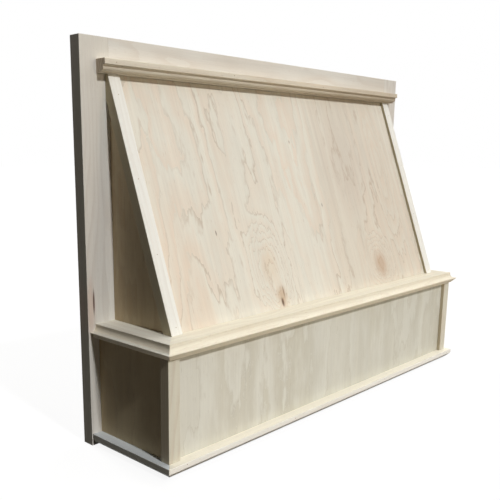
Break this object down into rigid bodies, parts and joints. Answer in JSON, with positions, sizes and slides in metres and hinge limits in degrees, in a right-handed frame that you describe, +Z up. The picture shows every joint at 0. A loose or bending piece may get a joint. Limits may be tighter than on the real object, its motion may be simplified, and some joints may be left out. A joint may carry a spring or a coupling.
{
  "type": "range hood cover",
  "caption": "Wooden range hood cover: a face frame carries a panelled lower box, a moulded belt and a sloped panel front, open below and behind for the hood insert.",
  "frame": {"origin": "middle of the mounting rail's four screw holes, on the frame's back plane", "axes": "+X to the right seen from the front, +Y back towards the wall, +Z up"},
  "size_m": [0.762, 0.1761, 0.54],
  "materials": {
    "frame_maple": "sanded, unfinished",
    "trim_maple": "sanded, unfinished",
    "panel_plywood": "sanded, unfinished veneer",
    "inner_wood": "sawn, unfinished",
    "screw_steel": "zinc plated"
  },
  "bodies": {
    "root": {"left_stile": "frame_maple", "right_stile": "frame_maple", "top_rail": "frame_maple", "mounting_rail": "inner_wood", "top_moulding": "trim_maple", "sloped_front_panel": "panel_plywood", "upper_left_side_panel": "panel_plywood", "upper_right_side_panel": "panel_plywood", "left_front_strip": "trim_maple", "right_front_strip": "trim_maple", "left_slope_cleat": "inner_wood", "right_slope_cleat": "inner_wood", "slope_foot_cleat": "inner_wood", "slope_top_cleat": "inner_wood", "belt_front": "trim_maple", "belt_left": "trim_maple", "belt_right": "trim_maple", "lower_front_panel": "panel_plywood", "lower_left_side_panel": "panel_plywood", "lower_right_side_panel": "panel_plywood", "left_corner_post": "trim_maple", "right_corner_post": "trim_maple", "base_rail_front": "trim_maple", "base_rail_left": "trim_maple", "base_rail_right": "trim_maple", "left_back_cleat": "inner_wood", "right_back_cleat": "inner_wood", "left_corner_block": "inner_wood", "right_corner_block": "inner_wood", "belt_glue_blocks": "inner_wood", "frame_pocket_screws": "screw_steel", "mounting_rail_pocket_screws": "screw_steel"}
  },
  "joints": []
}
